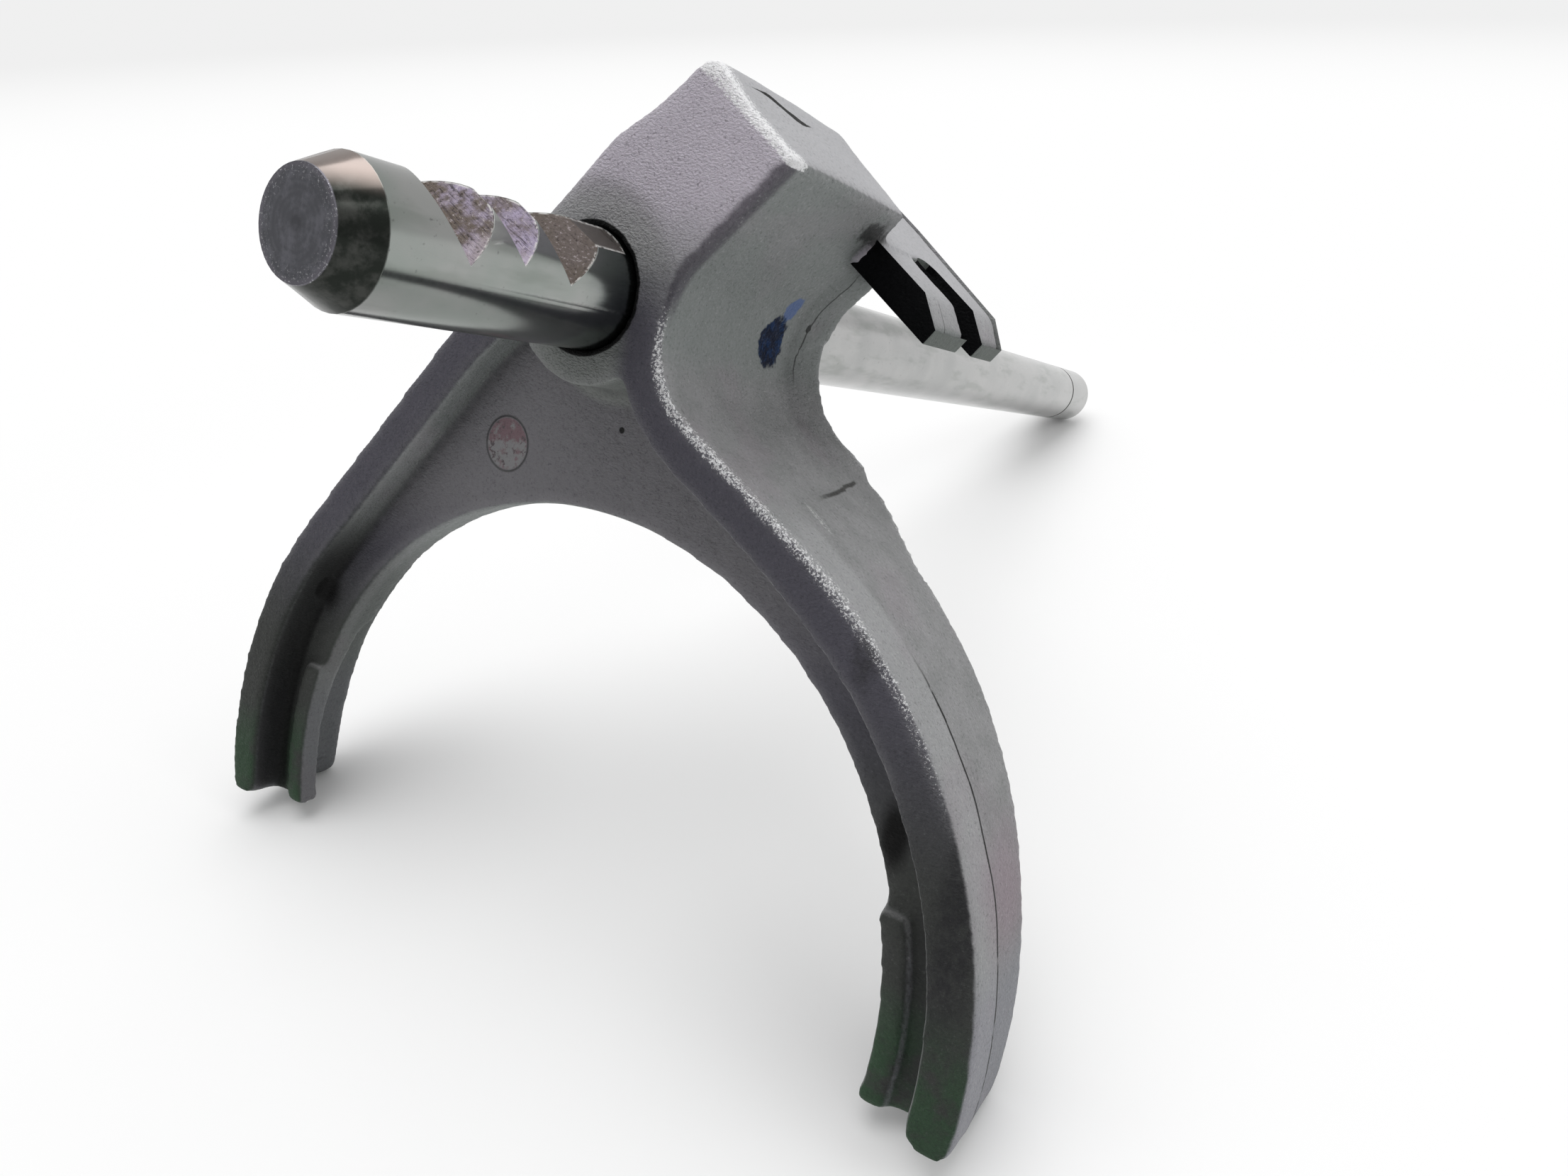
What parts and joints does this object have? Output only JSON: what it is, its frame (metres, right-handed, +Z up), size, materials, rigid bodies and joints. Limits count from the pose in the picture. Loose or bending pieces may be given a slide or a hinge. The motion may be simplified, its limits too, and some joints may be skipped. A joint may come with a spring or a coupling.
{
  "type": "shift fork rod",
  "caption": "Cast gearbox shift fork pinned on a steel selector rod with detent notches; its tines straddle a sliding sleeve and a slotted plate takes the shift finger.",
  "frame": {"origin": "centre of the bounding box, on the surface that the part rests on", "axes": "+Z up; +Y from the notched end of the rod towards its plain end, seen from above; +X across the tines, towards the driver plate"},
  "size_m": [0.223, 0.4202, 0.1913],
  "materials": {
    "fork_iron": "shot-blasted as cast, edges worn bright",
    "rod_steel": "ground, with milled notches and a dark turned lead",
    "pin_steel": "dark spring steel"
  },
  "bodies": {
    "root": {"shift_fork": "fork_iron", "shift_rod": "rod_steel", "spring_pin": "pin_steel"}
  },
  "joints": []
}
